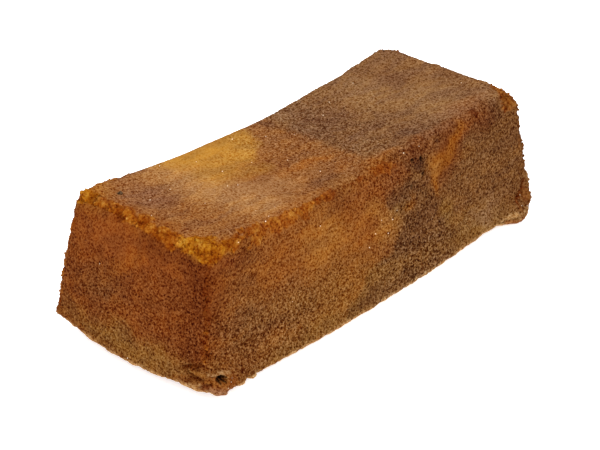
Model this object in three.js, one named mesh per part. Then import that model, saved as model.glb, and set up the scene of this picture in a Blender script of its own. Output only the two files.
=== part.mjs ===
// A marble loaf cake, turned out of its tin and standing on its risen side, in millimetres with +Z up.
// The face that baked on the tin's floor is on top. It sags in the middle, and its long edges are drawn in.
// The sides widen downwards, as the tin does. The risen side below is a shallow dome with a flat spot to rest
// on, so the lower corners are lifted. Along one long side, crumb that ran over the tin's rim hangs as two lips.
// The origin is on the surface that the cake stands on, at the middle of its outline. +X runs along the cake.
import * as THREE from "three";
import { mergeVertices } from "three/addons/utils/BufferGeometryUtils.js";

// The tin's shape: where straight walls would meet.
const BASE_LENGTH = 200;
const BASE_WIDTH = 79;
const TOP_LENGTH = 181.7;
const TOP_WIDTH = 68.8;
const HEIGHT = 56.6;

// Roundings: the upright edges seen from above, and the upper and lower edges seen from the side.
const PLAN_RADIUS = 5.5;
const UPPER_RADIUS = 6.5;
const LOWER_RADIUS = 2.5;

// How baking and cooling changed that shape.
const TOP_SAG = 4; // the top's middle below its ends
const SAG_SOFTNESS = 0.11; // how round the bend at the middle is: 0 is a sharp V
const TOP_TILT = 1.7; // the end at -X above the middle, and the other below
const TOP_PINCH = 3.4; // each long edge drawn in at the top's mid-length
const SIDE_BULGE = 3.4; // each long side pushed out at the base's mid-length
const END_BULGE = 2; // each end pushed out at the base's mid-width
const DISH = 1.2; // the top's middle below its long edges

// The dome below: flat to REST_SHARE of the half length, then rising to DOME_LIFT at the ends.
const REST_SHARE = 0.25;
const DOME_LIFT = 3.3;
const DOME_POWER = 1.5;

// What each lower and each upper corner is lifted further, and how far from the corner that reaches.
const LOWER_REACH = 24;
const LOWER_CORNERS = [
  { x: -1, y: 1, lift: 5.5 },
  { x: -1, y: -1, lift: 1.9 },
  { x: 1, y: -1, lift: -0.7 },
  { x: 1, y: 1, lift: 3.5 },
];
const UPPER_REACH = 40;
const UPPER_CORNERS = [
  { x: -1, y: 1, lift: 0.9 },
  { x: 1, y: -1, lift: -0.5 },
  { x: 1, y: 1, lift: -0.75 },
];

// Lips of overflowed crumb on the side at -Y: where the middle of each is as a share of the half length, how
// far it stands out and hangs down, its height, and its run along the length and the width.
const LIPS = [
  { x: -1, y: -1, out: 5.4, drop: 0.3, height: 11, alongLength: 21.5, alongWidth: 8 },
  { x: 0.84, y: -1, out: 4.5, drop: 2.6, height: 8.4, alongLength: 9.3, alongWidth: 8 },
];

const UNEVENNESS = 0.35; // slow waves in every face

// Faces across the length, width and height, drawn closer together towards the edges.
const FACES = [56, 22, 14];
const GATHER = 0.25;

const HALF = { x: BASE_LENGTH / 2, y: BASE_WIDTH / 2, z: HEIGHT / 2 };
const { clamp, lerp, smoothstep } = THREE.MathUtils;

const gather = (u) => u * (1 + GATHER - GATHER * u * u);

// A point of the box from -1 to 1, moved onto a block with rounded edges: its place and its outward normal.
function roundedBlock(p) {
  const radius = { x: PLAN_RADIUS, y: PLAN_RADIUS, z: p.z > 0 ? UPPER_RADIUS : LOWER_RADIUS };
  const core = new THREE.Vector3();
  const normal = new THREE.Vector3();
  for (const axis of ["x", "y", "z"]) {
    const at = p[axis] * HALF[axis];
    const inner = HALF[axis] - radius[axis];
    core[axis] = clamp(at, -inner, inner);
    normal[axis] = (at - core[axis]) / radius[axis];
  }
  normal.normalize();
  const place = new THREE.Vector3();
  for (const axis of ["x", "y", "z"]) place[axis] = core[axis] + radius[axis] * normal[axis];
  place.z += HALF.z;
  return { place, normal };
}

// Slow waves that differ from face to face.
function unevenness({ x, y, z }) {
  return (
    UNEVENNESS *
    (Math.sin(x / 13 + y / 17 + 0.8) * Math.cos(z / 9 - x / 29) + 0.6 * Math.sin(y / 8 - z / 11 + x / 37 + 2.1))
  );
}

// 1 beside a place on the outline seen from above, falling to 0 with the distance from it.
function beside(place, spot, reachX, reachY) {
  const dx = (place.x - spot.x * HALF.x) / reachX;
  const dy = (place.y - spot.y * HALF.y) / reachY;
  return Math.exp(-(dx * dx + dy * dy));
}

// The top's dip along the length: 1 in the middle and 0 at the ends.
function dip(u) {
  const soft = SAG_SOFTNESS;
  return 1 - (Math.hypot(u, soft) - soft) / (Math.hypot(1, soft) - soft);
}

// The block's point, moved to where it lies on the cake.
function onCake({ place, normal }) {
  const up = place.z / HEIGHT;
  const down = 1 - up;
  const u = place.x / HALF.x;
  const v = place.y / HALF.y;
  const point = new THREE.Vector3();
  point.x = place.x * lerp(1, TOP_LENGTH / BASE_LENGTH, up) + u * END_BULGE * down * (1 - v * v);
  point.y = place.y * lerp(1, TOP_WIDTH / BASE_WIDTH, up);
  point.y += v * (SIDE_BULGE * down - TOP_PINCH * up) * (1 - u * u);
  point.z = place.z - smoothstep(up, 0, 1) * TOP_SAG * dip(u) - TOP_TILT * u * up;
  point.z -= smoothstep(up, 0.8, 1) * DISH * (1 - v * v) * (1 - u ** 4);

  const atBase = down ** 3;
  const beyondRest = Math.max(0, Math.abs(u) - REST_SHARE) / (1 - REST_SHARE);
  point.z += atBase * DOME_LIFT * beyondRest ** DOME_POWER;
  for (const corner of LOWER_CORNERS) {
    point.z += atBase * corner.lift * beside(place, corner, LOWER_REACH, LOWER_REACH);
  }
  for (const corner of UPPER_CORNERS) {
    point.z += up ** 2 * corner.lift * beside(place, corner, UPPER_REACH, UPPER_REACH);
  }
  for (const lip of LIPS) {
    const here = beside(place, lip, lip.alongLength, lip.alongWidth);
    const below = 1 - smoothstep(place.z, 0.45 * lip.height, lip.height);
    point.y += normal.y * lip.out * here * below;
    point.z -= lip.drop * here * below * atBase * smoothstep(Math.hypot(normal.x, normal.y), 0, 0.7);
  }
  const fade = smoothstep(place.z, 1, 8); // the flat spot below stays flat
  return point.addScaledVector(normal, unevenness(place) * fade);
}

function cakeGeometry() {
  const geometry = new THREE.BoxGeometry(2, 2, 2, ...FACES);
  geometry.deleteAttribute("normal");
  geometry.deleteAttribute("uv");
  const position = geometry.getAttribute("position");
  const p = new THREE.Vector3();
  for (let i = 0; i < position.count; i++) {
    p.fromBufferAttribute(position, i);
    p.set(gather(p.x), gather(p.y), gather(p.z));
    const point = onCake(roundedBlock(p));
    position.setXYZ(i, point.x, point.y, point.z);
  }
  geometry.computeBoundingBox();
  const { min, max } = geometry.boundingBox;
  geometry.translate(-(min.x + max.x) / 2, -(min.y + max.y) / 2, -min.z);
  const closed = mergeVertices(geometry, 1e-3);
  closed.computeVertexNormals();
  return closed;
}

const crust = new THREE.MeshStandardMaterial({ color: 0x8d5a2a, roughness: 0.75, metalness: 0 });

const marbleCake = new THREE.Mesh(cakeGeometry(), crust);
marbleCake.name = "marble_cake";

const group = new THREE.Group();
group.add(marbleCake);

export default group;
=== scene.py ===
"""The looks of a marble loaf cake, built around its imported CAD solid.

Lengths are in millimetres until a mesh is made, and the frame's metres from there on.
The cake is one dense closed mesh: a rounded, tapered block with the same slow shape as the solid, and
crumb relief on it. Loose crumbs, grains of sugar and a dark fleck are meshes of their own, seated on it.
"""

import math

import bmesh
import bpy
import numpy as np
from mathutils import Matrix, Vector


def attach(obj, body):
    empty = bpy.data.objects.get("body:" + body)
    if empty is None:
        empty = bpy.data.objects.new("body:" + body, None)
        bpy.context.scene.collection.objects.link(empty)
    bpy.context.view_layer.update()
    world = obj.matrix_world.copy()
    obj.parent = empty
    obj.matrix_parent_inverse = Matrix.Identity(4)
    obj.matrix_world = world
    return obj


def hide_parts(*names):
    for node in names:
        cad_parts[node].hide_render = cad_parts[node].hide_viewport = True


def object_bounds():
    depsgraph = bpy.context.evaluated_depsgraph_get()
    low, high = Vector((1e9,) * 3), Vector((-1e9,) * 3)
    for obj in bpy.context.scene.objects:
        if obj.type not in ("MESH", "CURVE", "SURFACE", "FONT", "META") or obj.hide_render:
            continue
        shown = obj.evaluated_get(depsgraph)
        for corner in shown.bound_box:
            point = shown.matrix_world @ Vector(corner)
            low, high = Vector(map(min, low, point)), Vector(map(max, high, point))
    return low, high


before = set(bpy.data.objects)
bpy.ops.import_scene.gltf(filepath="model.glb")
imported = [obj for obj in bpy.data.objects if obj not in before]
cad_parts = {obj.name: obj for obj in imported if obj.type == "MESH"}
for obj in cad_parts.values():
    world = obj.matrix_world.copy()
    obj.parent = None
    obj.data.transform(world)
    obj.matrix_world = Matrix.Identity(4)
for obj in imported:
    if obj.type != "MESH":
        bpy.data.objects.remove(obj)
CAD_LOW, CAD_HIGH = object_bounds()
SCENE = bpy.context.scene
MM = 0.001

# ---------------------------------------- the slow shape, as in the CAD source

BASE_LENGTH, BASE_WIDTH = 200.0, 79.0
TOP_LENGTH, TOP_WIDTH = 181.7, 68.8
HEIGHT = 56.6
PLAN_RADIUS, UPPER_RADIUS, LOWER_RADIUS = 5.5, 6.5, 2.5
TOP_SAG, SAG_SOFTNESS, TOP_TILT = 4.0, 0.11, 1.7
TOP_PINCH, SIDE_BULGE, END_BULGE, DISH = 3.4, 3.4, 2.0, 1.2
REST_SHARE, DOME_LIFT, DOME_POWER = 0.25, 3.3, 1.5
LOWER_REACH = 24.0
LOWER_CORNERS = [(-1, 1, 5.5), (-1, -1, 1.9), (1, -1, -0.7), (1, 1, 3.5)]  # side in x, side in y, lift
UPPER_REACH = 40.0
UPPER_CORNERS = [(-1, 1, 0.9), (1, -1, -0.5), (1, 1, -0.75)]
LIPS = [
    dict(x=-1, y=-1, out=5.4, drop=0.3, height=11.0, along_length=21.5, along_width=8.0),
    dict(x=0.84, y=-1, out=4.5, drop=2.6, height=8.4, along_length=9.3, along_width=8.0),
]
UNEVENNESS = 0.35
HALF = np.array([BASE_LENGTH, BASE_WIDTH, HEIGHT]) / 2
# A place's shares of the block, from -1 to 1 in x and y and from 0 to 1 in z, are multiplied by this.
SHARE = np.array([HALF[0], HALF[1], HEIGHT])


def smoothstep(value, start, end):
    """0 up to the start and 1 from the end on, with a smooth rise between."""
    t = np.clip((value - start) / (end - start), 0, 1)
    return t * t * (3 - 2 * t)


def away(place, shares, reach):
    """How many reaches the points are from a place given as shares of the block."""
    return np.linalg.norm((place - np.array(shares) * SHARE) / reach, axis=1)


def rounded_block(unit):
    """Points of the box from -1 to 1 moved onto a rounded block: their places and outward normals."""
    radius = np.full_like(unit, PLAN_RADIUS)
    radius[:, 2] = np.where(unit[:, 2] > 0, UPPER_RADIUS, LOWER_RADIUS)
    at = unit * HALF
    core = np.clip(at, radius - HALF, HALF - radius)
    normal = (at - core) / radius
    normal /= np.linalg.norm(normal, axis=1, keepdims=True)
    place = core + radius * normal
    place[:, 2] += HALF[2]
    return place, normal


def beside(place, x, y, reach_x, reach_y):
    """1 at a place given as shares of the block, and less around it."""
    dx = (place[:, 0] - x * HALF[0]) / reach_x
    dy = (place[:, 1] - y * HALF[1]) / reach_y
    return np.exp(-(dx**2 + dy**2))


def dip(u):
    """The top's dip along the length: 1 in the middle and 0 at the ends."""
    soft = SAG_SOFTNESS
    return 1 - (np.hypot(u, soft) - soft) / (math.hypot(1, soft) - soft)


def unevenness(place):
    """The slow waves of a hand-filled cake, in mm."""
    x, y, z = place.T
    slow = np.sin(x / 13 + y / 17 + 0.8) * np.cos(z / 9 - x / 29)
    return UNEVENNESS * (slow + 0.6 * np.sin(y / 8 - z / 11 + x / 37 + 2.1))


def on_cake(place, normal):
    """Where the block's points lie on the cake, before any crumb."""
    up = place[:, 2] / HEIGHT
    down = 1 - up
    u, v = place[:, 0] / HALF[0], place[:, 1] / HALF[1]
    x = place[:, 0] * (1 + (TOP_LENGTH / BASE_LENGTH - 1) * up) + u * END_BULGE * down * (1 - v**2)
    y = place[:, 1] * (1 + (TOP_WIDTH / BASE_WIDTH - 1) * up)
    y += v * (SIDE_BULGE * down - TOP_PINCH * up) * (1 - u**2)
    z = place[:, 2] - smoothstep(up, 0, 1) * TOP_SAG * dip(u) - TOP_TILT * u * up
    z -= smoothstep(up, 0.8, 1) * DISH * (1 - v**2) * (1 - u**4)
    at_base = np.clip(down, 0, 1) ** 3
    beyond_rest = np.maximum(0, np.abs(u) - REST_SHARE) / (1 - REST_SHARE)
    z += at_base * DOME_LIFT * beyond_rest**DOME_POWER
    for side_x, side_y, lift in LOWER_CORNERS:
        z += at_base * lift * beside(place, side_x, side_y, LOWER_REACH, LOWER_REACH)
    for side_x, side_y, lift in UPPER_CORNERS:
        z += up**2 * lift * beside(place, side_x, side_y, UPPER_REACH, UPPER_REACH)
    flank = np.hypot(normal[:, 0], normal[:, 1])
    for lip in LIPS:
        here = beside(place, lip["x"], lip["y"], lip["along_length"], lip["along_width"])
        below = 1 - smoothstep(place[:, 2], 0.45 * lip["height"], lip["height"])
        y += normal[:, 1] * lip["out"] * here * below
        z -= lip["drop"] * here * below * at_base * smoothstep(flank, 0, 0.7)
    waves = unevenness(place) * smoothstep(place[:, 2], 1, 8)
    return np.stack([x, y, z], 1) + normal * waves[:, None]


# ---------------------------------------- noise

GRADIENTS = np.random.default_rng(5).normal(size=(256, 3))
GRADIENTS /= np.linalg.norm(GRADIENTS, axis=1, keepdims=True)
NOISE_GAIN = 1.6  # brings the noise to about -1 to 1
FAR_OFF = 9.0  # in cells, further than any nearest seat


def hashed(cell, seed):
    """A whole number from 0 to 255 for each whole-numbered cell."""
    h = cell[:, 0] * 73856093 ^ cell[:, 1] * 19349663 ^ cell[:, 2] * 83492791 ^ seed * 265443576
    h &= 0xFFFFFFFF
    for bits in (16, 15):
        h = ((h ^ (h >> bits)) * 0x45D9F3B) & 0xFFFFFFFF
    return (h ^ (h >> 16)) & 255


def noise(points, size, seed):
    """Gradient noise, about -1 to 1, whose lumps are about that size."""
    at = points / size
    cell = np.floor(at).astype(np.int64)
    f = at - cell
    fade = f**3 * (f * (f * 6 - 15) + 10)
    total = np.zeros(len(points))
    for corner in np.ndindex(2, 2, 2):
        step = np.array(corner)
        weight = np.prod(np.where(step, fade, 1 - fade), axis=1)
        total += weight * np.einsum("ij,ij->i", GRADIENTS[hashed(cell + step, seed)], f - step)
    return total * NOISE_GAIN


def layered(points, size, seed, layers=3):
    """Noise with finer and weaker noise added to it."""
    total = np.zeros(len(points))
    for layer in range(layers):
        total += 0.5**layer * noise(points, size / 2**layer, seed + 31 * layer)
    return total


def cells(points, size, seed):
    """Scattered seats, one to a cell of that size: how many cells off the nearest is, and its own number."""
    at = points / size
    cell = np.floor(at).astype(np.int64)
    closest = np.full(len(points), FAR_OFF)
    name = np.zeros(len(points))
    for offset in np.ndindex(3, 3, 3):
        near = cell + np.array(offset) - 1
        seat = near + np.stack([hashed(near, seed + k) for k in range(3)], 1) / 255
        distance = np.linalg.norm(seat - at, axis=1)
        closer = distance < closest
        closest = np.where(closer, distance, closest)
        name = np.where(closer, hashed(near, seed + 7) / 255, name)
    return closest, name


def billows(points, size, seed):
    """Puffy lumps of uneven size, from 0 in the creases between them to 1."""
    return np.clip(2.6 * np.abs(noise(points, size, seed)), 0, 1) ** 0.7


def wandering(points, size, seed, layers=3):
    """A displacement that wanders as noise does, a unit either way."""
    return np.stack([layered(points, size, seed + k, layers) for k in range(3)], 1)


# ---------------------------------------- the lattice

SPACING = 0.45
MAP_GAP = 3.0  # between the charts of the map, in mm
SIDES = [(axis, end) for axis in (2, 1, 0) for end in (1, 0)]  # the axis a side faces, and 1 for its high end


def box_lattice():
    """A closed box of quads from -1 to 1: its points, its quads, and each quad's corners on the map."""
    counts = np.ceil(2 * HALF / SPACING).astype(int)
    shell = np.zeros(counts + 1, bool)
    for axis in range(3):
        np.moveaxis(shell, axis, 0)[[0, -1]] = True
    number = np.full(counts + 1, -1, np.int32)
    number[shell] = np.arange(shell.sum())
    points = np.argwhere(shell) / counts * 2 - 1
    quads, charts = [], []
    width = 2 * (HALF[0] + HALF[1]) + 3 * MAP_GAP
    x, y = MAP_GAP, MAP_GAP
    for axis, end in SIDES:
        face = np.take(number, -end, axis=axis)
        corners = [face[:-1, :-1], face[1:, :-1], face[1:, 1:], face[:-1, 1:]]
        across, up = np.meshgrid(*[np.arange(n - 1) for n in face.shape], indexing="ij")
        size = np.delete(2 * HALF, axis) / np.delete(counts, axis)
        places = [(across + a, up + b) for a, b in ((0, 0), (1, 0), (1, 1), (0, 1))]
        chart = [np.stack([x + a * size[0], y + b * size[1]], -1) for a, b in places]
        if (axis == 1) != (end == 0):
            corners.reverse()
            chart.reverse()
        quads.append(np.stack(corners, -1).reshape(-1, 4))
        charts.append(np.stack(chart, -2).reshape(-1, 4, 2))
        y += np.delete(2 * HALF, axis)[1] + MAP_GAP
        if axis == 1 and end == 0:
            x, y = 2 * HALF[0] + 2 * MAP_GAP, MAP_GAP
    return points, np.concatenate(quads), np.concatenate(charts) / width


# ---------------------------------------- where the crust is rubbed and torn

# Edges of the block by the two ways they face, with how rough the crumb is there, how far the crust is gone,
# and how wide the rubbed band is, as a share of the edge's whole rounding.
RUBBED_EDGES = [
    (dict(x=-1, z=1), 1, 1, 0.62),
    (dict(y=-1, z=1), 0.85, 0.8, 0.48),
    (dict(y=1, z=1), 0.9, 0.7, 0.5),
    (dict(x=1, z=1), 0.6, 0.7, 0.4),
    (dict(x=-1, y=-1), 1, 0.45, 0.24),
    (dict(x=-1, y=1), 0.7, 0.7, 0.5),
    (dict(x=1, y=-1), 0.8, 0.3, 0.6),
    (dict(x=1, y=1), 0.8, 0.5, 0.55),
    (dict(x=-1, z=-1), 0.5, 0, 0.8),
    (dict(x=1, z=-1), 0.5, 0, 0.8),
    (dict(y=-1, z=-1), 0.4, 0, 0.8),
    (dict(y=1, z=-1), 0.4, 0, 0.8),
]
BAND_RAGGED, BAND_SOFTNESS = 0.5, 0.12

# Stretches of the edges where most of the crust is kept: the middle as shares of the block, the reach in mm,
# and how much narrower the rubbed band is.
KEPT = [
    ((0.83, -1, 1), (12, 9, 9), 0.9),
    ((0.4, -1, 1), (36, 9, 9), 0.8),
    ((-0.02, -1, 1), (25, 9, 9), 0.5),
    ((1, 0, 1), (9, 24, 9), 0.4),
    ((-1, 0.42, 0.894), (12, 26, 4.2), 0.9),
    ((-0.4, -0.88, 1), (28, 3, 9), 0.6),
    ((-0.74, -1, 0.91), (14, 9, 3.2), 0.7),
    ((0.08, 1, 1), (90, 9, 9), 0.9),
    ((-1, -1, 0.08), (9, 9, 11), 0.5),
]

# Corners and stretches where it is gone further in: the middle as shares of the block, the reach in mm, how
# rough the crumb is there and how far the crust is gone.
SPREAD = [
    ((-0.97, -0.82, 1), (7.5, 10, 4.5), 1, 1),
    ((-0.86, -0.97, 0.985), (8, 3.2, 3.5), 1, 1),
    ((-0.77, -0.93, 1), (12, 3.2, 3.4), 0.9, 0.9),
    ((-0.965, 0.45, 1), (3.2, 26, 3), 0.8, 0.8),
    ((-0.52, -1, 0.945), (26, 3, 3), 0.7, 0.7),
    ((0.11, -0.975, 0.955), (8, 2.6, 3.2), 0.8, 0.6),
    ((-0.98, 0.9, 1), (7, 7, 5), 1, 1),
    ((-0.84, 1, 1), (9, 3.5, 4), 1, 0.8),
    ((0.925, -0.93, 0.965), (5, 5.5, 4.5), 1, 0.9),
    ((1, -0.55, 1), (3.5, 16, 4), 0.8, 0.6),
    ((0.985, -0.8, 1), (4.5, 8, 3.5), 1, 0.9),
    ((-0.97, -0.94, 0.08), (11, 9, 5), 0.9, 0.45),
    ((0.94, -0.97, 0.1), (7, 6, 6), 0.6, 0.35),
]


def worn(place, normal):
    """How rough the crumb is and how far the crust is gone, from 0 on the faces to 1 on the edges."""
    rough, bare = np.zeros(len(place)), np.zeros(len(place))
    ragged = BAND_RAGGED * layered(place, size=6.0, seed=101, layers=5)
    kept = np.zeros(len(place))
    for at, reach, narrower in KEPT:
        kept = np.maximum(kept, narrower * (1 - smoothstep(away(place, at, reach), 0.7, 1.1)))
    for edge, most_rough, most_bare, width in RUBBED_EDGES:
        first, second = (np.clip(side * normal[:, "xyz".index(way)], 0, 1) for way, side in edge.items())
        on_edge = smoothstep(first**2 + second**2, 0.3, 0.6)
        middling = 1 - np.abs(np.arctan2(first, second) / (math.pi / 4) - 1)  # 1 on the edge's middle line
        inside = on_edge * middling - (1 - width) + ragged - kept
        off_face = smoothstep(on_edge * middling, 0.0, 0.12)
        rough = np.maximum(rough, most_rough * off_face * smoothstep(inside, -0.2, BAND_SOFTNESS))
        bare = np.maximum(bare, most_bare * off_face * smoothstep(inside, -BAND_SOFTNESS, BAND_SOFTNESS))
    for at, reach, most_rough, most_bare in SPREAD:
        inside = smoothstep(1 - away(place, at, reach) + 1.5 * ragged, 0, 0.3)
        rough, bare = np.maximum(rough, most_rough * inside), np.maximum(bare, most_bare * inside)
    return rough, bare


def knob(at, reach, out, tint, strength, to=None, sharp=False):
    """A knob or hollow of the crumb.

    It has a middle, as shares of the block, a reach each way and a height in mm, a tint and the strength of
    that. A long one has a place that it runs to, and a sharp one has steep walls.
    """
    return dict(at=at, to=to or at, reach=reach, out=out, tint=tint, strength=strength, sharp=sharp)


# The dark tints that fill the hollows below are painted shade in crevices, cracks, pits, notches, slits and
# holes.
KNOBS = [
    # the near lip: ledges above and beside its hole, lumps below it, and crevices, the hole and the tear in
    # painted shade
    knob((-1, -0.83, 0.172), (1.6, 1.6, 0.9), 0.9, "honey", 0.6, to=(-0.99, -0.93, 0.16)),
    knob((-0.98, -0.97, 0.16), (1.2, 1.6, 0.5), 0.7, "rim", 0.45, to=(-0.905, -1, 0.158)),
    knob((-1, -0.87, 0.118), (2, 2.2, 1.2), -1.4, "crevice_shade", 0.9),
    knob((-1, -0.84, 0.062), (1.8, 1.6, 0.9), 0.8, "rim", 0.5, to=(-0.995, -0.92, 0.08)),
    knob((-0.965, -0.985, 0.055), (4.5, 5, 2.6), 0.9, "rosy", 0.8),
    knob((-0.92, -1, 0.095), (3.2, 3, 2), 0.4, "toffee", 0.5),
    knob((-0.96, -1, 0.13), (1.5, 6, 0.85), -4.2, "hole_shade", 1, to=(-0.944, -1, 0.137), sharp=True),
    knob((-0.989, -0.945, 0.102), (0.8, 0.9, 0.45), -1.5, "crevice_shade", 0.9,
         to=(-0.996, -0.915, 0.072), sharp=True),
    knob((-1, -0.73, 0.165), (1.2, 1.7, 1.2), -1.5, "crevice_shade", 0.9, to=(-0.995, -0.9, 0.215)),
    knob((-0.995, -0.92, 0.235), (1.2, 1.2, 1), -0.8, "crevice_shade", 0.5, to=(-0.97, -0.98, 0.3)),
    # the upright edge between the two faces seen: a crack down it in painted shade, and crumbs in that
    knob((-0.99, -0.94, 0.86), (1.1, 1.1, 1), -0.6, "crevice_shade", 0.55, to=(-0.988, -0.95, 0.22)),
    knob((-0.99, -0.941, 0.456), (1, 1, 1.1), 0.6, "amber", 0.7),
    knob((-0.986, -0.953, 0.347), (1, 1, 1.4), 0.6, "amber", 0.7),
    knob((-0.988, -0.949, 0.243), (1.2, 1.2, 1.2), 0.6, "amber", 0.7),
    # pits in the near end's rubbed edge, in painted shade
    knob((-0.975, 0.715, 0.982), (1.8, 2.2, 1.6), -1, "crevice_shade", 0.9),
    knob((-0.984, 0.523, 0.962), (1.3, 1.5, 1.5), -0.9, "crevice_shade", 0.8),
    knob((-0.987, 0.3, 0.955), (1.8, 2.4, 1.7), -1, "crevice_shade", 0.9),
    # the raised corner at the back
    knob((-0.97, 0.85, 1), (3, 3, 4), 0.7, "brass", 0.3, to=(-0.8, 0.98, 1)),
    # the far end's upper edge, a little proud
    knob((0.98, -0.5, 1), (8, 6, 5), 0.7, "honey", 0.15, to=(0.98, 0.1, 1)),
    # the corners beside that edge, worn rounder, and the back edge before one of them, a little proud
    knob((0.99, -0.86, 1), (8, 8, 7), -1, "brass", 0.2),
    knob((0.985, 0.96, 0.99), (5, 6, 5), -0.8, "honey", 0.2),
    knob((0.72, 1, 1), (8, 5, 5), 0.8, "honey", 0.1, to=(0.91, 1, 1)),
    # notches in the lower edge, in painted shade, and ledges between them
    knob((-0.995, -0.935, 0.01), (1.8, 1.8, 3), -1.8, "crevice_shade", 0.5),
    knob((-0.925, -0.985, 0.01), (5, 4, 3), -1.2, "rosy", 0.3),
    knob((-0.885, -0.98, 0.01), (1.4, 3, 2.4), -2, "crevice_shade", 0.4),
    knob((-0.816, -0.98, 0.01), (1.4, 3, 2.6), -2, "crevice_shade", 0.5),
    knob((-0.752, -0.99, 0.03), (1.6, 3, 2.4), -1.8, "crevice_shade", 0.5),
    knob((-0.85, -0.98, 0.03), (2.2, 3, 1.6), 0.7, "rim", 0.5),
    knob((-0.78, -0.98, 0.03), (2, 3, 1.6), 0.7, "rim", 0.5),
    # the far lip: its slit in painted shade, its shoulder, the corner that it lacks, and its pale rim and
    # shiny underside
    knob((0.94, -1, 0.24), (0.8, 3, 0.9), -1.6, "crevice_shade", 0.8, to=(0.917, -1, 0.185), sharp=True),
    knob((0.912, -1, 0.175), (0.8, 3, 0.9), -1.5, "crevice_shade", 0.9, to=(0.862, -1, 0.122), sharp=True),
    knob((0.99, -0.98, 0.22), (3, 3, 2.6), 0.6, "rim", 0.2, sharp=True),
    knob((0.99, -0.97, 0), (2.6, 3, 3), -1.6, "rim", 0.4, to=(0.94, -1, 0)),
    knob((0.765, -1, 0.042), (1.4, 3, 1.2), 0.3, "russet", 0.9, to=(0.86, -1, 0.03), sharp=True),
    knob((0.73, -1, 0.074), (1.2, 3, 0.6), 0.5, "rim", 0.5, to=(0.81, -1, 0.086)),
    knob((0.81, -1, 0.086), (1.2, 3, 0.6), 0.5, "rim", 0.45, to=(0.9, -1, 0.062)),
    # open holes where dark batter meets light batter, in painted shade
    knob((0.283, -1, 0.899), (1.1, 3, 1.2), -1, "hole_shade", 0.9),
    knob((0.335, -1, 0.874), (0.8, 3, 1.7), -0.9, "hole_shade", 0.8),
    knob((0.331, -1, 0.762), (1.1, 3, 1.2), -0.9, "hole_shade", 0.7),
    knob((0.246, -1, 0.72), (0.9, 3, 0.9), -0.8, "hole_shade", 0.8),
    knob((0.455, -1, 0.935), (1.4, 3, 1), -0.7, "hollow_shade", 0.8),
    knob((0.2, -1, 0.6), (0.8, 3, 0.9), -0.7, "hole_shade", 0.6),
]
KNOB_WANDER = 0.7  # in mm
# Where a knob's height and its tint fade, in reaches. The tint of a sharp one covers its walls.
SOFT_BORDERS = ((0.35, 1.15), (0.35, 1.15))
SHARP_BORDERS = ((0.75, 1.05), (1.0, 1.15))
SHORTEST = 1e-9  # in place of the length of a knob that isn't long


def knob_weights(place):
    """Each knob, with the share of its height and the share of its tint that each point has."""
    wandered = place + KNOB_WANDER * wandering(place, size=2.2, seed=201, layers=2)
    for one in KNOBS:
        first = np.array(one["at"]) * SHARE / one["reach"]
        way = np.array(one["to"]) * SHARE / one["reach"] - first
        from_first = wandered / one["reach"] - first
        along = np.clip(from_first @ way / max(way @ way, SHORTEST), 0, 1)
        distance = np.linalg.norm(from_first - along[:, None] * way, axis=1)
        border, tint_border = SHARP_BORDERS if one["sharp"] else SOFT_BORDERS
        yield one, 1 - smoothstep(distance, *border), 1 - smoothstep(distance, *tint_border)


# ---------------------------------------- patches of batter

FACES = dict(  # the two axes that a face runs along, the third, and where it lies along that
    top=(0, 1, 2, 1.0),
    side=(0, 2, 1, -1.0),
    back=(0, 2, 1, 1.0),
    near=(1, 2, 0, -1.0),
    far=(1, 2, 0, 1.0),
)
PATCH_DEPTH = 7.0


def patch_weight(swirled, face, at, size, turn, soft):
    """1 within a patch, an oval on that face, and 0 outside it."""
    along, up, through, level = FACES[face]
    da = swirled[:, along] - at[0] * SHARE[along]
    db = swirled[:, up] - at[1] * SHARE[up]
    dn = (swirled[:, through] - level * SHARE[through]) / PATCH_DEPTH
    cos, sin = math.cos(math.radians(turn)), math.sin(math.radians(turn))
    first, second = (da * cos + db * sin) / size[0], (db * cos - da * sin) / size[1]
    return 1 - smoothstep(np.sqrt(first**2 + second**2 + dn**2), 1 - soft, 1 + soft)


def facing_weights(normal):
    """How far each point belongs to the top, to the underside and to the walls."""
    top = np.clip(normal[:, 2], 0, 1) ** 2
    under = np.clip(-normal[:, 2], 0, 1) ** 2
    return dict(top=top, under=under, side=1 - top - under)


# ---------------------------------------- crumb relief

# How open the crumb is, against the whole cake's middling crumb: the face, the middle as shares of it, half
# sizes in mm, a turn in degrees, the openness, and how soft the border is from 0 to 1.
CRUMB_AREAS = [
    ("top", (-0.42, 0.2), (26, 44), 0, 0.58, 0.8),
    ("top", (-0.33, 0.88), (27, 12), -4, 0.27, 0.5),
    ("top", (-0.8, 0), (14, 44), 0, 0.85, 0.8),
    ("top", (0.12, -0.1), (26, 44), 0, 1.22, 0.8),
    ("top", (0.75, 0.1), (26, 44), 0, 0.67, 0.8),
    ("side", (-0.3, 0.62), (32, 18), 0, 0.68, 0.8),
    ("side", (-0.62, 0.26), (40, 13), 0, 1.33, 0.8),
    ("side", (0.18, 0.5), (15, 30), -15, 1.18, 0.7),
    ("side", (0.22, 0.18), (22, 12), 0, 1.5, 0.8),
    ("side", (0.74, 0.5), (26, 24), 0, 1.02, 0.8),
    ("side", (0.47, 0.82), (13, 6), 36, 0.55, 0.5),
    ("side", (-0.94, 0.75), (6, 14), 0, 0.58, 0.8),
    ("side", (-0.9, 0.28), (8, 14), 0, 1.25, 0.8),
    ("near", (0.1, 0.85), (34, 14), 0, 0.45, 0.8),
    ("near", (-0.1, 0.25), (36, 18), 0, 0.88, 0.8),
    ("near", (-0.55, 0.5), (14, 10), 0, 0.75, 0.8),
    ("near", (-0.9, 0.3), (5, 20), 0, 1.05, 0.8),
    ("back", (-0.3, 0.25), (60, 13), 0, 1.2, 0.8),
    ("far", (0, 0.25), (34, 14), 0, 1.1, 0.8),
]

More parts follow.
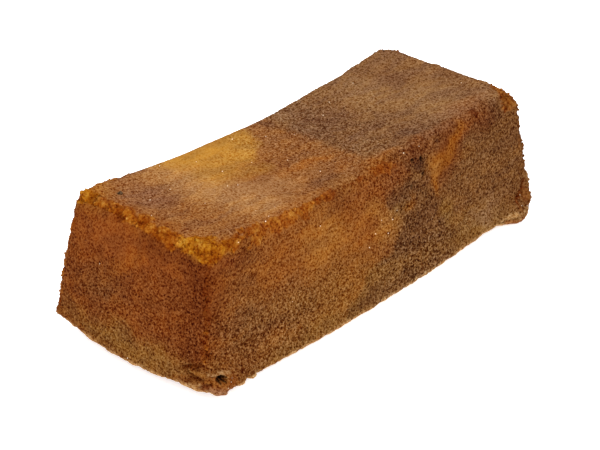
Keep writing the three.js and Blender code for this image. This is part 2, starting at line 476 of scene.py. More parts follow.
PORE_SIZE, PORE_DEPTH = 1.8, 0.25  # noise this large has its creases about two thirds of it apart
PORE_WANDER = 0.5
HOLE_SIZE, HOLE_SHARE, HOLE_DEPTH = 3.0, 0.5, 0.4  # this share of the cells has a hole
SWELL_SIZE, SWELL_HEIGHT = 6.0, 0.12
LUMP_SIZE, LUMP_HEIGHT = 4.2, 1.0
LUMP_LAYERS = [(0.38, 1.0), (0.36, 0.5), (0.26, 0.27)]  # the share of each, and its size against the largest
CLOD_SIZE, CLOD_HEIGHT = 6.5, 0.9
PUFFED = 0.6  # about the mean of lumps and of clods


def openness(swirled, facing):
    """How open the crumb is at each point, with 1 as the middling crumb."""
    total = 1 - 0.5 * facing["under"] - 0.2 * facing["side"]
    for face, at, size, turn, value, soft in CRUMB_AREAS:
        total += (value - total) * patch_weight(swirled, face, at, size, turn, soft)
    return total


def crumb_relief(place, rough, open_crumb):
    """How far the surface stands out, how deep in a pore it lies from 0 to 1, and how high on a lump."""
    wandered = place + PORE_WANDER * wandering(place, size=2.5, seed=301, layers=1)
    pore = smoothstep(np.abs(noise(wandered, PORE_SIZE, seed=311)), 0.03, 0.38)
    distance, name = cells(wandered, HOLE_SIZE, seed=321)
    hole = (1 - smoothstep(distance, 0.12, 0.30)) * (name < HOLE_SHARE)
    lump = sum(share * billows(wandered, LUMP_SIZE * finer, seed=331) for share, finer in LUMP_LAYERS)
    clod = billows(wandered, CLOD_SIZE, seed=341)
    smooth_crumb = 1 - 0.8 * rough
    out = -smooth_crumb * open_crumb * (PORE_DEPTH * (pore - 0.5) + HOLE_DEPTH * hole)
    out += SWELL_HEIGHT * noise(place, SWELL_SIZE, seed=351)
    out += rough * (LUMP_HEIGHT * (lump - PUFFED) + CLOD_HEIGHT * (clod - PUFFED))
    return out, np.clip(pore * smooth_crumb + 0.6 * hole, 0, 1), lump * (0.35 + 0.65 * clod)


# ---------------------------------------- marbling, with painted light and shade

def linear(red, green, blue):
    """A screen's colour as shares of white light."""
    c = np.array([red, green, blue]) / 255
    return np.where(c < 0.04045, c / 12.92, ((c + 0.055) / 1.055) ** 2.4)


LEVELS = dict(
    # the batter's own colours, with those of the top paler as a painted sheen and that of the end darker as
    # painted shade
    vanilla_top_sheen=(152, 96, 50),
    vanilla_side=(138, 78, 29),
    vanilla_end_shaded=(122, 62, 22),
    cocoa_top_sheen=(137, 94, 58),
    cocoa_side=(119, 75, 37),
    skin=(120, 66, 32),
    gold=(188, 132, 54),
    tan=(180, 128, 76),
    mauve=(140, 92, 62),
    rosy=(150, 100, 66),
    russet=(142, 84, 40),
    umber=(118, 74, 44),
    dusk=(112, 80, 58),
    olive=(152, 110, 70),
    orange=(160, 94, 38),
    brass=(173, 106, 32),
    yolk=(182, 120, 29),
    toffee=(137, 71, 26),
    biscuit=(134, 82, 38),
    honey=(154, 98, 40),
    moss=(132, 89, 39),
    cocoa=(98, 58, 29),
    amber=(156, 86, 22),
    sienna=(102, 45, 13),
    rust=(126, 64, 24),
    ochre=(148, 84, 22),
    # the next three are painted shade: in crevices and creases, in hollows, and in holes
    crevice_shade=(108, 44, 8),
    hollow_shade=(66, 34, 22),
    hole_shade=(20, 5, 1),
    # pale crumb, and along the lower rim a painted highlight of light bounced from the floor
    rim=(208, 160, 102),
)
TINTS = {name: linear(*levels) for name, levels in LEVELS.items()}

# Patches of batter, painted in this order: the face, the middle as shares of it, half sizes in mm, a turn in
# degrees, a tint, how strong it is, and how soft its border is from 0 to 1.
PATCHES = [
    ("top", (-0.82, 0.45), (12, 14), 0, "mauve", 0.7, 0.8),
    ("top", (-0.55, 0.1), (13, 44), 6, "tan", 0.95, 0.8),
    ("top", (-0.33, 0.86), (25, 13), -4, "gold", 1, 0.35),
    ("back", (-0.33, 1), (25, 7), 0, "gold", 1, 0.5),
    ("top", (-0.18, 0.6), (17, 7), 46, "gold", 0.85, 0.3),
    ("top", (-0.4, 0.38), (15, 12), 35, "gold", 0.75, 0.6),
    ("top", (-0.2, 0.02), (20, 8), -8, "russet", 0.6, 0.6),
    ("top", (-0.29, 0.06), (7, 5), 0, "gold", 0.5, 0.8),
    ("top", (-0.34, -0.42), (9, 8), 0, "tan", 0.5, 0.8),
    ("top", (-0.08, -0.32), (13, 2.6), -12, "orange", 0.8, 0.6),
    ("top", (-0.17, -0.76), (10, 5), 0, "umber", 0.5, 0.6),
    ("top", (0, -0.62), (8, 3.5), 20, "orange", 0.5, 0.6),
    ("top", (0.14, -0.1), (8, 26), -8, "umber", 0.4, 0.8),
    ("top", (0.3, 0.1), (9, 24), -14, "umber", 0.4, 0.8),
    ("top", (0.226, 0.406), (10, 2.4), -55, "umber", 0.7, 0.5),
    ("top", (0.06, 0.73), (6, 2.6), -50, "umber", 0.7, 0.5),
    ("top", (0.35, -0.72), (9, 7), 0, "umber", 0.55, 0.7),
    ("top", (0.4, -0.8), (5, 4), 0, "dusk", 0.4, 0.7),
    ("top", (0.14, -0.93), (12, 4.5), 0, "amber", 0.75, 0.8),
    ("side", (0.12, 0.95), (12, 4), 0, "amber", 0.7, 0.8),
    ("top", (0.5, -0.96), (24, 3.5), 0, "rust", 0.45, 0.8),
    ("top", (0.58, 0.4), (9, 20), -22, "olive", 0.7, 0.8),
    ("top", (0.68, -0.3), (12, 16), -12, "olive", 0.7, 0.8),
    ("top", (0.76, 0.45), (5, 12), 10, "umber", 0.4, 0.8),
    ("top", (0.74, -0.78), (14, 6), 0, "rosy", 0.6, 0.7),
    ("top", (-0.95, -0.85), (7, 6.5), 0, "amber", 0.7, 0.6),
    ("top", (-0.94, 0.8), (8, 10), 0, "brass", 0.6, 0.8),
    ("side", (-0.5, 0.95), (30, 4), 0, "amber", 0.5, 0.8),
    ("top", (-0.96, 0), (5, 36), 0, "amber", 0.4, 0.8),
    ("side", (-0.95, 0.66), (10, 24), 0, "sienna", 0.4, 0.8),
    ("side", (-0.62, 0.38), (26, 9), -6, "cocoa_side", 0.75, 0.8),
    ("side", (-0.83, 0.88), (10, 5), 0, "sienna", 0.55, 0.8),
    ("side", (-0.3, 0.68), (14, 10), 0, "honey", 0.7, 0.8),
    ("side", (-0.5, 0.07), (36, 5), 0, "moss", 0.7, 0.8),
    ("side", (-0.24, 0.26), (26, 11), 0, "moss", 0.45, 0.8),
    ("side", (-0.15, 0.93), (24, 5), 0, "cocoa_side", 0.5, 0.8),
    ("side", (-0.78, 0.5), (9, 20), 0, "cocoa", 0.35, 0.8),
    ("side", (-0.18, 0.86), (8, 6), 0, "sienna", 0.45, 0.7),
    ("side", (0, 0.88), (10, 4), 0, "rust", 0.6, 0.8),
    ("side", (0.01, 0.72), (6, 4), 0, "honey", 0.5, 0.8),
    ("side", (0.2, 0.8), (8, 12), 0, "cocoa", 0.65, 0.6),
    ("side", (0.23, 0.42), (8, 9), 0, "cocoa", 0.6, 0.4),
    ("side", (0.3, 0.9), (7, 5), 0, "cocoa", 0.9, 0.5),
    ("side", (0.36, 0.5), (10, 5), -50, "cocoa", 0.7, 0.6),
    ("side", (0.4, 0.3), (8, 3), -45, "cocoa", 0.6, 0.6),
    ("side", (0.14, 0.87), (9, 6), 0, "rust", 0.6, 0.7),
    ("side", (0.18, 0.85), (6, 4), 0, "rust", 0.4, 0.8),
    ("side", (0.11, 0.4), (7, 6), 0, "cocoa", 0.45, 0.8),
    ("side", (0.36, 0.27), (6, 6), 0, "cocoa", 0.3, 0.8),
    ("side", (0.14, 0.62), (5, 3), 0, "moss", 0.35, 0.6),
    ("side", (0.12, 0.74), (4.5, 3.5), 0, "cocoa", 0.6, 0.5),
    ("side", (0.2, 0.61), (3.6, 2.2), 10, "ochre", 0.6, 0.6),
    ("side", (0.42, 0.41), (5, 5), 20, "moss", 0.6, 0.6),
    ("side", (0.06, 0.55), (8, 7), 0, "honey", 0.55, 0.25),
    ("side", (0.52, 0.22), (12, 6), 0, "moss", 0.4, 0.8),
    ("side", (0.62, 0.1), (14, 5), 0, "moss", 0.8, 0.8),
    ("side", (0.65, 0.18), (9, 5), 0, "olive", 0.5, 0.8),
    ("side", (0.49, 0.8), (14, 7.5), 38, "sienna", 0.75, 0.6),
    ("side", (0.43, 0.8), (5.5, 5.5), 0, "ochre", 0.75, 0.6),
    ("side", (0.55, 0.88), (9.5, 3.4), 40, "ochre", 0.9, 0.7),
    ("side", (0.39, 0.65), (2.2, 4.5), -12, "ochre", 0.65, 0.6),
    ("side", (0.62, 0.91), (9, 4), 30, "rust", 0.5, 0.7),
    ("side", (0.4, 0.77), (3, 4.5), -20, "honey", 0.7, 0.8),
    # painted shade around an open hole
    ("side", (0.33, 0.86), (2.5, 5), 0, "hollow_shade", 0.5, 0.5),
    ("side", (0.8, 0.92), (9, 4), 0, "cocoa", 0.65, 0.7),
    ("side", (0.88, 0.64), (10, 15), 0, "cocoa", 0.35, 0.8),
    ("side", (0.72, 0.74), (8, 9), 0, "cocoa", 0.3, 0.8),
    ("side", (0.73, 0.93), (7, 4.5), 10, "sienna", 0.55, 0.8),
    ("side", (-0.85, 0.25), (14, 6), 0, "cocoa", 0.35, 0.8),
    ("side", (0.13, 0.13), (6, 4), 0, "cocoa", 0.45, 0.8),
    ("side", (-0.12, 0.09), (11, 4), 10, "cocoa", 0.3, 0.8),
    ("side", (0.33, 0.95), (8, 3), 0, "rust", 0.5, 0.8),
    ("side", (-0.9, 0.91), (6, 4), 0, "rust", 0.6, 0.8),
    ("near", (0.2, 0.82), (28, 9), 0, "toffee", 0.8, 0.8),
    ("near", (0.45, 0.47), (12, 6), 0, "cocoa_side", 0.5, 0.8),
    ("near", (0.1, 0.7), (14, 2.5), -40, "amber", 0.25, 0.8),
    ("near", (0.6, 0.5), (9, 9), 0, "sienna", 0.3, 0.8),
    ("near", (-0.86, 0.52), (6, 28), 0, "sienna", 0.75, 0.8),
    ("near", (-0.2, 0.92), (7, 4), 0, "sienna", 0.5, 0.8),
    ("near", (-0.5, 0.9), (14, 5), 0, "sienna", 0.4, 0.8),
    ("near", (-0.84, 0.85), (7, 8), 0, "sienna", 0.5, 0.8),
    ("near", (-0.1, 0.13), (36, 7), 0, "moss", 0.75, 0.8),
    ("near", (-0.9, 0.99), (6, 3), 0, "brass", 0.6, 0.7),
    ("side", (-0.92, 0.99), (8, 3.2), 0, "brass", 0.7, 0.7),
    ("back", (-0.3, 0.8), (26, 12), 0, "honey", 0.7, 0.6),
    ("back", (0.1, 0.45), (16, 12), 30, "cocoa", 0.5, 0.6),
    ("back", (0.55, 0.62), (20, 5), -20, "amber", 0.5, 0.6),
    ("back", (-0.62, 0.3), (24, 10), 10, "cocoa_side", 0.5, 0.8),
    ("back", (0, 0.08), (70, 5), 0, "moss", 0.6, 0.8),
    ("far", (0.2, 0.6), (16, 9), 30, "cocoa", 0.5, 0.7),
    ("far", (-0.5, 0.35), (14, 4), -20, "honey", 0.5, 0.7),
    ("far", (0, 0.12), (36, 6), 0, "moss", 0.6, 0.8),
]

# What colour the rubbed crumb is where it isn't rusty: the middle as shares of the block, the reach in mm,
# and the tint.
CRUMB_TINTS = [
    ((-1, 0, 1), (9, 46, 9), "brass"),
    ((-0.55, -1, 1), (38, 9, 9), "brass"),
    ((1, 0.3, 1), (8, 12, 8), "brass"),
    ((0.45, 1, 1), (26, 8, 8), "brass"),
    ((-1, 1, 0.5), (8, 8, 26), "brass"),
    ((-0.97, -0.84, 1), (13, 13, 9), "yolk"),
    ((-1, 0.92, 1), (9, 9, 7), "yolk"),
    ((-0.86, 1, 1), (9, 7, 7), "yolk"),
    ((0.95, -0.92, 0.97), (9, 9, 9), "honey"),
    ((0.02, -1, 1), (26, 9, 9), "russet"),
    ((0.11, -1, 1), (9, 9, 9), "amber"),
    ((0.55, -1, 1), (30, 9, 9), "sienna"),
    ((1, -1, 0.45), (8, 8, 26), "cocoa_side"),
    ((-0.97, -0.97, 0.08), (16, 14, 9), "biscuit"),
    ((0.94, -0.97, 0.1), (12, 12, 10), "biscuit"),
]


# Where along the loaf the dark batter begins, in mm, and how far that slants to the near end low down.
COCOA_FRONT, FRONT_SLANT, LOW_PART = 9.0, 36.0, 0.52


def mixed(colour, other, share):
    """Each point's colour, with its share of another."""
    return colour + (other - colour) * np.clip(share, 0, 1)[:, None]


def marbling(swirled, normal, facing):
    """The colour of the batter at each point, before wear and pores, with the top paler as a painted sheen
    and the end darker as painted shade.
    """
    everywhere = np.ones((len(swirled), 1))
    low = np.clip(LOW_PART - swirled[:, 2] / HEIGHT, 0, 1) / LOW_PART
    front = COCOA_FRONT - FRONT_SLANT * smoothstep(low, 0.1, 0.95)
    cocoa = smoothstep(swirled[:, 0] - front, -3.0, 3.5)
    top = mixed(everywhere * TINTS["vanilla_top_sheen"], TINTS["cocoa_top_sheen"], cocoa)
    side = mixed(everywhere * TINTS["vanilla_side"], TINTS["cocoa_side"], cocoa)
    end = mixed(everywhere * TINTS["vanilla_end_shaded"], TINTS["cocoa_side"], cocoa)
    # Painted light: the end darker than the long side as painted shade, and the top paler as a painted sheen.
    side = mixed(side, end, normal[:, 0] ** 2)
    colour = mixed(side, top, smoothstep(facing["top"], 0.3, 0.8))
    for face, at, size, turn, tint, strength, soft in PATCHES:
        colour = mixed(colour, TINTS[tint], strength * patch_weight(swirled, face, at, size, turn, soft))
    return mixed(colour, TINTS["skin"], smoothstep(facing["under"], 0.25, 0.7))


VEIN_LIGHT, VEIN_DARK = (1.10, 1.09, 0.97), (0.89, 0.88, 0.95)  # what the batter's colour is multiplied by
VEIN_STRETCH = (0.17, 0.7, 0.9)


def veins(swirled):
    """Thin drawn-out streaks of the two batters, from -1, dark, to 1, light."""
    return np.clip(2.2 * layered(swirled * VEIN_STRETCH, size=5.0, seed=461), -1, 1)


def rubbed_tint(swirled):
    """The colour of the crumb wherever its crust is gone."""
    tint = np.tile(TINTS["rust"], (len(swirled), 1))
    for at, reach, name in CRUMB_TINTS:
        tint = mixed(tint, TINTS[name], 1 - smoothstep(away(swirled, at, reach), 0.6, 1.2))
    return tint


# The rubbed crumb's colour is taken to this power in its creases, as painted shade, and to so much less on
# its lumps, as a painted highlight.
CREASE_SHADE_POWER, CREST_SPAN = 1.65, 0.9
# The second share darkens the creases as painted shade, and the third paints a highlight of floor-bounced
# light on the lower rim.
BARE_STRENGTH, CREASE_SHADE_STRENGTH, RIM_BOUNCE_STRENGTH = 0.95, 0.6, 0.9


def painted(place, normal, swirled, facing, rough, bare, lump):
    """The cake's colour: batter and its veins, then bare crumb with painted shade in its creases, and the
    pale lower rim as a painted highlight of light bounced from the floor.
    """
    batter = marbling(swirled, normal, facing)
    vein = veins(swirled)
    batter = mixed(batter, batter * VEIN_LIGHT, np.maximum(vein, 0))
    batter = mixed(batter, batter * VEIN_DARK, np.maximum(-vein, 0))
    tint = rubbed_tint(swirled)
    tint = mixed(tint, TINTS["amber"], 0.5 * smoothstep(layered(place, size=5.0, seed=451), -0.1, 0.4))
    tint = tint ** (CREASE_SHADE_POWER - CREST_SPAN * lump)[:, None]
    crumb = mixed(batter, tint, BARE_STRENGTH * bare)
    # Painted shade in the creases between the lumps.
    crease_shade = rough * (1 - smoothstep(lump, 0.05, 0.50)) * (1 - facing["under"])
    crumb = mixed(crumb, TINTS["crevice_shade"], CREASE_SHADE_STRENGTH * crease_shade)
    # A painted highlight on the lower rim, of light bounced up from the floor.
    height = place[:, 2] + layered(place, size=3.0, seed=441, layers=2)
    bounce_lit_rim = smoothstep(normal[:, 2], -0.95, -0.7) * (1 - smoothstep(height, 1.0, 3.4))
    return mixed(crumb, TINTS["rim"], RIM_BOUNCE_STRENGTH * bounce_lit_rim)


# ---------------------------------------- meshes

def new_piece(name, vertices, faces, material):
    """A smooth mesh that rides with the cake. vertices are in the frame's metres."""
    mesh = bpy.data.meshes.new(name)
    sides = faces.shape[1]
    mesh.vertices.add(len(vertices))
    mesh.vertices.foreach_set("co", vertices.astype(np.float32).ravel())
    mesh.loops.add(faces.size)
    mesh.loops.foreach_set("vertex_index", faces.astype(np.int32).ravel())
    mesh.polygons.add(len(faces))
    mesh.polygons.foreach_set("loop_start", np.arange(len(faces), dtype=np.int32) * sides)
    mesh.update(calc_edges=True)
    mesh.validate()
    mesh.polygons.foreach_set("use_smooth", np.ones(len(faces), bool))
    mesh.materials.append(material)
    piece = bpy.data.objects.new(name, mesh)
    SCENE.collection.objects.link(piece)
    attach(piece, "root")
    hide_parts("marble_cake")
    return piece


def add_colour(mesh, name, colour):
    layer = mesh.attributes.new(name, "FLOAT_COLOR", "POINT")
    rgba = np.concatenate([np.clip(colour, 0, 1), np.ones((len(colour), 1))], axis=1)
    layer.data.foreach_set("color", rgba.astype(np.float32).ravel())


def add_number(mesh, name, value):
    layer = mesh.attributes.new(name, "FLOAT", "POINT")
    layer.data.foreach_set("value", value.astype(np.float32))


# ---------------------------------------- materials

DEEPEST = 0.9  # how far from middling, 0.5, the depths run before the tone stops changing
# Light goes back and forth more often in a pit, so that its colour is taken to a higher power.
PIT_POWER, CREST_POWER = 1.1, 0.4
# A painted highlight: the crests are made brighter the more they stand out.
CREST_HIGHLIGHT = 0.27  # how much brighter the crests are, for each unit that they stand out
EXPOSURE = 0.6  # the share of a lit colour that the crumb itself has
CELL_SCALES = (760.0, 1050.0, 1900.0)  # cells to a metre: coarse, fine and dots
SWAY, SWAY_SCALE = 0.35 * MM, 800.0
WORM_SCALE, GRAIN_SCALE, SEAM_SCALE = 1000.0, 2300.0, 750.0
PIT_SHARE, DOT_SHARE, PORE_SHARE, WORM_SHARE, GRAIN_SHARE, SEAM_SHARE = 0.85, 0.5, 0.08, 0.6, 0.6, 0.55
MIDDLE = 0.40  # the middling depth, which is brought to 0.5
BUMP_STRENGTH, BUMP_HEIGHT = 0.7, 0.35 * MM
DULL = 0.01  # the specular level of dry crumb
CLOUD_SCALE = 900.0  # on sugar and on the fleck


def node(tree, kind, **values):
    """A new node, with values for its sockets or its settings."""
    made = tree.nodes.new(kind)
    for name, value in values.items():
        if name in made.inputs:
            made.inputs[name].default_value = value
        else:
            setattr(made, name, value)
    return made


def joined(tree, made, values):
    """Gives sockets their values, each a constant or another node's output."""
    for socket, value in values.items():
        if isinstance(value, bpy.types.NodeSocket):
            tree.links.new(value, made.inputs[socket])
        else:
            made.inputs[socket].default_value = value


def ranged(tree, value, start, end, low, high):
    """A number of the material moved from one range to another, without overshoot."""
    made = node(tree, "ShaderNodeMapRange", interpolation_type="SMOOTHSTEP")
    joined(tree, made, {"Value": value, "From Min": start, "From Max": end, "To Min": low, "To Max": high})
    return made.outputs["Result"]


def calculated(tree, operation, first, second=0.0, third=0.0):
    """One step of arithmetic with the material's numbers."""
    made = node(tree, "ShaderNodeMath", operation=operation)
    joined(tree, made, {0: first, 1: second, 2: third})
    return made.outputs["Value"]


def tinted(tree, share, first, second):
    """A colour between two."""
    made = node(tree, "ShaderNodeMix", data_type="RGBA", clamp_factor=True)
    joined(tree, made, {"Factor": share, "A": (*first, 1), "B": (*second, 1)})
    return made.outputs["Result"]


def new_material(name):
    """A material with its nodes, the place in the mesh as an output, and its shader."""
    material = bpy.data.materials.new(name)
    material.use_nodes = True
    tree = material.node_tree
    where = node(tree, "ShaderNodeTexCoord").outputs["Object"]
    return material, tree, where, tree.nodes["Principled BSDF"]


def attribute(tree, name, output="Fac"):
    """What the mesh holds under that name."""
    return node(tree, "ShaderNodeAttribute", attribute_name=name).outputs[output]


def fractal(tree, where, scale, detail, **values):
    """Cloudy noise with so many lumps to a metre."""
    made = node(tree, "ShaderNodeTexNoise", Scale=scale, Detail=detail, **values)
    tree.links.new(where, made.inputs["Vector"])
    return made.outputs["Fac"]


def crumb_material():
    """Cake crumb: the mesh's colour, darker and redder in the pores as painted shade and paler on the crests
    as a painted highlight, with a bump.
    """
    material, tree, where, shader = new_material("cake_crust")
    colour = attribute(tree, "crumb", "Color")
    pore, open_crumb, bare = (attribute(tree, name) for name in ("pore", "open", "bare"))
    swayed = node(tree, "ShaderNodeTexNoise", Scale=SWAY_SCALE, Detail=1.0)
    tree.links.new(where, swayed.inputs["Vector"])
    sway = node(tree, "ShaderNodeVectorMath", operation="MULTIPLY_ADD")
    joined(tree, sway, {0: swayed.outputs["Color"], 1: (SWAY, SWAY, SWAY), 2: where})
    distances = []
    for scale in CELL_SCALES:
        cell = node(tree, "ShaderNodeTexVoronoi", Scale=scale, Randomness=1.0, Detail=0.0)
        tree.links.new(sway.outputs["Vector"], cell.inputs["Vector"])
        distances.append(cell.outputs["Distance"])
    coarse, fine, dot = (ranged(tree, distance, 0.10, 0.62, 1.0, 0.0) for distance in distances)
    coarser = ranged(tree, open_crumb, 0.7, 1.7, 0.0, 0.75)
    pit = calculated(tree, "MULTIPLY_ADD", calculated(tree, "SUBTRACT", coarse, fine), coarser, fine)
    worm = fractal(tree, sway.outputs["Vector"], WORM_SCALE, 1.0)
    grain = fractal(tree, where, GRAIN_SCALE, 2.0, Roughness=0.65)
    depth = calculated(tree, "MULTIPLY_ADD", pit, PIT_SHARE, calculated(tree, "MULTIPLY", pore, PORE_SHARE))
    depth = calculated(tree, "MULTIPLY_ADD", dot, DOT_SHARE, depth)
    depth = calculated(tree, "ADD", depth, ranged(tree, worm, 0.3, 0.7, WORM_SHARE / 2, -WORM_SHARE / 2))
    depth = calculated(tree, "ADD", depth, ranged(tree, grain, 0.3, 0.7, GRAIN_SHARE / 2, -GRAIN_SHARE / 2))
    depth = calculated(tree, "MULTIPLY_ADD", calculated(tree, "SUBTRACT", depth, MIDDLE), open_crumb, 0.5)
    seam = ranged(tree, fractal(tree, where, SEAM_SCALE, 3.0, Roughness=0.7), 0.3, 0.7, 0.95, 0.1)
    shown = calculated(tree, "MULTIPLY", bare, SEAM_SHARE)
    depth = calculated(tree, "MULTIPLY_ADD", calculated(tree, "SUBTRACT", seam, depth), shown, depth)
    beyond = calculated(tree, "SUBTRACT", depth, 0.5)
    into = calculated(tree, "MINIMUM", calculated(tree, "MAXIMUM", beyond, 0.0), DEEPEST)
    onto = calculated(tree, "MAXIMUM", calculated(tree, "MINIMUM", beyond, 0.0), -DEEPEST)
    power = calculated(tree, "MULTIPLY_ADD", into, PIT_POWER, 1.0)
    power = calculated(tree, "MULTIPLY_ADD", onto, CREST_POWER, power)
    # Painted shade and highlight: the colour darker and redder deeper in the pores and seams, and paler on
    # the crests.
    shaded_by_depth = node(tree, "ShaderNodeGamma")
    joined(tree, shaded_by_depth, {"Color": colour, "Gamma": power})
    product = node(tree, "ShaderNodeVectorMath", operation="SCALE")
    crest_highlight = calculated(tree, "MULTIPLY_ADD", onto, -EXPOSURE * CREST_HIGHLIGHT, EXPOSURE)
    joined(tree, product, {0: shaded_by_depth.outputs["Color"], "Scale": crest_highlight})
    bump = node(tree, "ShaderNodeBump", Strength=BUMP_STRENGTH, Distance=BUMP_HEIGHT)
    joined(tree, bump, {"Height": calculated(tree, "SUBTRACT", 1.0, depth)})
    rough = ranged(tree, grain, 0.3, 0.7, 0.95, 0.72)
    joined(tree, shader, {"Base Color": product.outputs["Vector"], "Normal": bump.outputs["Normal"]})
    joined(tree, shader, {"Roughness": rough, "Specular IOR Level": DULL})
    return material


def sugar_material():
    """Grains of sugar: pale and glassy, a little browned here and there."""
    material, tree, where, shader = new_material("sugar")
    tint = tinted(tree, fractal(tree, where, CLOUD_SCALE, 2.0), (0.95, 0.84, 0.66), (0.80, 0.60, 0.36))
    joined(tree, shader, {"Base Color": tint, "Roughness": 0.18})
    return material


def fleck_material():
    """A bit of charred batter: near black, with paler ash in its dents."""
    material, tree, where, shader = new_material("fleck")
    ash = ranged(tree, fractal(tree, where, CLOUD_SCALE, 2.0), 0.4, 0.6, 0.0, 1.0)
    tint = tinted(tree, ash, (0.016, 0.006, 0.002), (0.085, 0.050, 0.025))
    joined(tree, shader, {"Base Color": tint, "Roughness": 0.9, "Specular IOR Level": DULL})
    return material


# ---------------------------------------- the cake

SWIRL, SWIRL_SIZE = 3.0, 12.0
MOTTLING = 0.06


def onto_cad(points):
    """How far the points are moved, to stand in the middle of the CAD box and on its floor."""
    low, high = points.min(0), points.max(0)
    move = np.array(CAD_LOW + CAD_HIGH) / MM / 2 - (low + high) / 2
    move[2] = CAD_LOW[2] / MM - low[2]
    return move


unit, quads, charts = box_lattice()
block, outward = rounded_block(unit)
slow = on_cake(block, outward)
shift = onto_cad(slow)

swirled = block + SWIRL * wandering(block, SWIRL_SIZE, seed=401)
facing = facing_weights(outward)
rough, bare = worn(block, outward)
open_crumb = openness(swirled, facing)
relief, pore, lump = crumb_relief(block, rough, open_crumb)
colour = painted(block, outward, swirled, facing, rough, bare, lump)
# The knobs' heights and tints; the dark tints of the hollows are painted shade.
for one, height_share, tint_share in knob_weights(block):
    relief += one["out"] * height_share
    colour = mixed(colour, TINTS[one["tint"]], one["strength"] * tint_share)
colour *= (1 + MOTTLING * layered(block, size=7.0, seed=431))[:, None]
surface = slow + outward * relief[:, None] + shift
surface[:, 2] = np.maximum(surface[:, 2], 0)

crumb = crumb_material()
cake = new_piece("marbled_crumb", surface * MM, quads, crumb)
add_colour(cake.data, "crumb", colour)
add_number(cake.data, "pore", pore)
add_number(cake.data, "open", open_crumb)
add_number(cake.data, "bare", bare)
uv = cake.data.uv_layers.new(name="OFBake")
uv.data.foreach_set("uv", charts.astype(np.float32).ravel())

# ---------------------------------------- loose crumbs, sugar and the fleck

RANDOM = np.random.default_rng(11)


def ball(finer):
    """A ball's points and triangles."""
    shape = bmesh.new()
    bmesh.ops.create_icosphere(shape, subdivisions=finer, radius=1.0)
    return points_and_faces(shape)


def crystal():
    """A cube with its edges cut off: its points and triangles."""
    shape = bmesh.new()
    bmesh.ops.create_cube(shape, size=1.7)
    bmesh.ops.bevel(shape, geom=shape.edges[:], offset=0.22, segments=1, affect="EDGES")
    bmesh.ops.triangulate(shape, faces=shape.faces[:])
    return points_and_faces(shape)


def points_and_faces(shape):
    shape.verts.index_update()
    points = np.array([vertex.co[:] for vertex in shape.verts])
    faces = np.array([[vertex.index for vertex in face.verts] for face in shape.faces])
    shape.free()
    return points, faces


def turned_at_random(count):
    """A random turn for each of so many things."""
    return np.linalg.qr(RANDOM.normal(size=(count, 3, 3)))[0]


def scattered(shape, seats, sizes, stretch, dents, sunk):
    """Copies of a shape, each turned, stretched and dented in its own way and set into the cake's surface."""
    points, faces = shape
    count = len(seats)
    bodies = np.tile(points, (count, 1, 1)) * RANDOM.uniform(1 - stretch, 1 + stretch, (count, 1, 3))
    own = points[None] + RANDOM.uniform(-50, 50, (count, 1, 3))
    dent = 1 + dents * noise(own.reshape(-1, 3), size=0.9, seed=501).reshape(count, -1, 1)
    bodies = np.einsum("nij,npj->npi", turned_at_random(count), bodies * dent) * sizes[:, None, None]
    raised = (surface[seats] + outward[seats] * (sizes * (1 - sunk))[:, None])[:, None]
    every = faces[None] + len(points) * np.arange(count)[:, None, None]
    return (bodies + raised).reshape(-1, 3), every.reshape(-1, faces.shape[1])


def nearest(shares):
    """The lattice point nearest to a place given as shares of the block."""
    return int(np.argmin(away(block, shares, reach=1)))


CRUMBS = 420
CRUMB_SIZE, CRUMB_SIZE_SPREAD, CRUMB_SIZES = 0.34, 0.35, (0.2, 0.8)  # radii in mm
STRAY = 0.0015  # how likely a crumb is on unbroken crust, against rough crumb
CLEAR_OF_FLOOR = 2.0  # in mm


def loose_crumbs():
    """Crumbs that cling to the cake, mostly where it is rough, in the colour of their seats or paler."""
    likely = rough**2 * (0.25 + facing["side"] + facing["top"]) + STRAY
    likely[block[:, 2] < CLEAR_OF_FLOOR] = 0
    seats = RANDOM.choice(len(block), CRUMBS, replace=False, p=likely / likely.sum())
    sizes = RANDOM.lognormal(math.log(CRUMB_SIZE), CRUMB_SIZE_SPREAD, CRUMBS).clip(*CRUMB_SIZES)
    vertices, faces = scattered(ball(3), seats, sizes, stretch=0.25, dents=0.45, sunk=0.8)
    piece = new_piece("loose_crumbs", vertices * MM, faces, crumb)
    tints = np.clip(colour[seats] * RANDOM.uniform(1.0, 1.3, (CRUMBS, 1)), 0, 1)
    add_colour(piece.data, "crumb", np.repeat(tints, len(vertices) // CRUMBS, axis=0))
    for name, value in (("pore", 0.2), ("open", 0.6), ("bare", 0.0)):
        add_number(piece.data, name, np.full(len(vertices), value))


# Grains of sugar that catch the light, as shares of the top and of the long side, and more at random.
TOP_GRAINS = [(-0.25, 0.23), (0.07, 0.35), (0.39, 0.56), (-0.12, -0.54), (-0.68, -0.16), (-0.46, -0.10)]
TOP_GRAINS += [(-0.13, -0.04), (-0.42, 0.67), (-0.16, 0.78), (-0.51, -0.79), (-0.03, 0.57), (0.29, 0.42)]
SIDE_GRAINS = [(-0.07, 0.48), (-0.02, 0.55), (0.03, 0.62), (0.05, 0.50), (0.09, 0.58), (0.13, 0.63)]
SIDE_GRAINS += [(-0.33, 0.80)]
LIP_GRAINS = [(-0.93, 0.11), (-0.91, 0.12), (-0.95, 0.09), (0.87, 0.10), (0.90, 0.08)]
MORE_GRAINS = 24
GRAIN_SIZES = (0.10, 0.18)


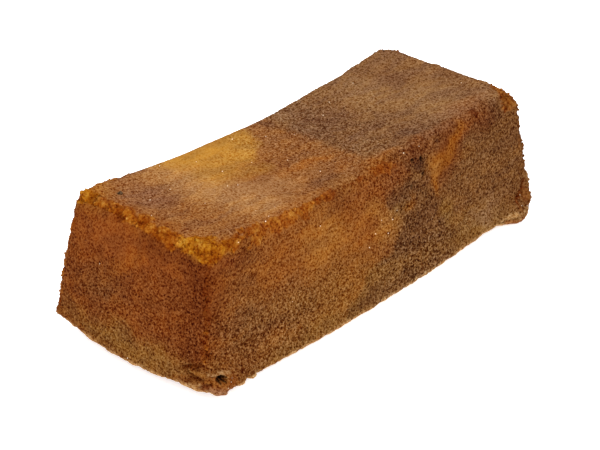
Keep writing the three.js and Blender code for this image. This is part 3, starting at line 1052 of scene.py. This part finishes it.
def sugar_grains():
    placed = [nearest((u, v, 1)) for u, v in TOP_GRAINS]
    placed += [nearest((u, -1, w)) for u, w in SIDE_GRAINS + LIP_GRAINS]
    likely = facing["side"] + 1.5 * facing["top"] + 4 * bare
    seats = RANDOM.choice(len(block), MORE_GRAINS, replace=False, p=likely / likely.sum())
    seats = np.concatenate([placed, seats])
    sizes = RANDOM.uniform(*GRAIN_SIZES, len(seats))
    vertices, faces = scattered(crystal(), seats, sizes, stretch=0.3, dents=0.0, sunk=0.1)
    new_piece("sugar_grains", vertices * MM, faces, sugar_material())


FLECK_AT, FLECK_SIZE, FLECK_DENTS = (-0.876, 0.61, 1.0), 0.9, 0.4


def dark_fleck():
    points, faces = ball(4)
    points = points * (1 + FLECK_DENTS * noise(points, size=0.8, seed=521))[:, None] * FLECK_SIZE
    new_piece("dark_fleck", (points + surface[nearest(FLECK_AT)]) * MM, faces, fleck_material())


loose_crumbs()
sugar_grains()
dark_fleck()

# ---------------------------------------- floor, light and camera

FLOOR_HALF, FLOOR_GREY = 3.0, (0.95, 0.95, 0.95, 1)
LAMP_TARGET, LAMP_DISTANCE, LAMP_SIZE = (0, 0, 0.03), 1.2, 1.2
SKY_STRENGTH = 1.1
CAMERA_TARGET = (-21.08, -15.68, 32.93)  # in the block's millimetres
CAMERA_AZIMUTH, CAMERA_ELEVATION, CAMERA_DISTANCE = -49.27, 29.30, 0.8953
LENS, SENSOR_WIDTH = 142.4, 36.0
WHITE = (1, 1, 1, 1)


def floor():
    mesh = bpy.data.meshes.new("floor")
    corners = [(FLOOR_HALF * x, FLOOR_HALF * y, 0) for x, y in ((-1, -1), (1, -1), (1, 1), (-1, 1))]
    mesh.from_pydata(corners, [], [(0, 1, 2, 3)])
    material = bpy.data.materials.new("floor")
    material.use_nodes = True
    tree = material.node_tree
    look = {"Base Color": FLOOR_GREY, "Roughness": 0.9, "Emission Color": WHITE, "Emission Strength": 0.62}
    joined(tree, tree.nodes["Principled BSDF"], look)
    mesh.materials.append(material)
    piece = bpy.data.objects.new("floor", mesh)
    SCENE.collection.objects.link(piece)


def aimed(thing, azimuth, elevation, distance, target):
    """Places a lamp or camera by its direction from a target and turns it to face that."""
    a, e = math.radians(azimuth), math.radians(elevation)
    way = Vector((math.cos(e) * math.sin(a), -math.cos(e) * math.cos(a), math.sin(e)))
    thing.location = Vector(target) + way * distance
    thing.rotation_euler = (-way).to_track_quat("-Z", "Y").to_euler()
    SCENE.collection.objects.link(thing)


def softbox(name, azimuth, elevation, power):
    light = bpy.data.lights.new(name, "AREA")
    light.energy = power
    light.size = LAMP_SIZE
    aimed(bpy.data.objects.new(name, light), azimuth, elevation, LAMP_DISTANCE, LAMP_TARGET)


def studio():
    """An even white surround."""
    world = bpy.data.worlds.new("studio")
    SCENE.world = world
    world.use_nodes = True
    tree = world.node_tree
    joined(tree, tree.nodes["Background"], {"Color": WHITE, "Strength": SKY_STRENGTH})


def viewpoint():
    """The camera, a long lens that looks at the cake from its near corner."""
    data = bpy.data.cameras.new("camera")
    data.lens = LENS
    data.sensor_width = SENSOR_WIDTH
    data.clip_end = 20.0
    camera = bpy.data.objects.new("camera", data)
    target = (np.array(CAMERA_TARGET) + shift) * MM
    aimed(camera, CAMERA_AZIMUTH, CAMERA_ELEVATION, CAMERA_DISTANCE, target)
    SCENE.camera = camera


floor()
softbox("key_light", azimuth=-40, elevation=50, power=11.0)
softbox("top_light", azimuth=-30, elevation=85, power=6.0)
studio()
viewpoint()
SCENE.view_settings.view_transform = "Standard"
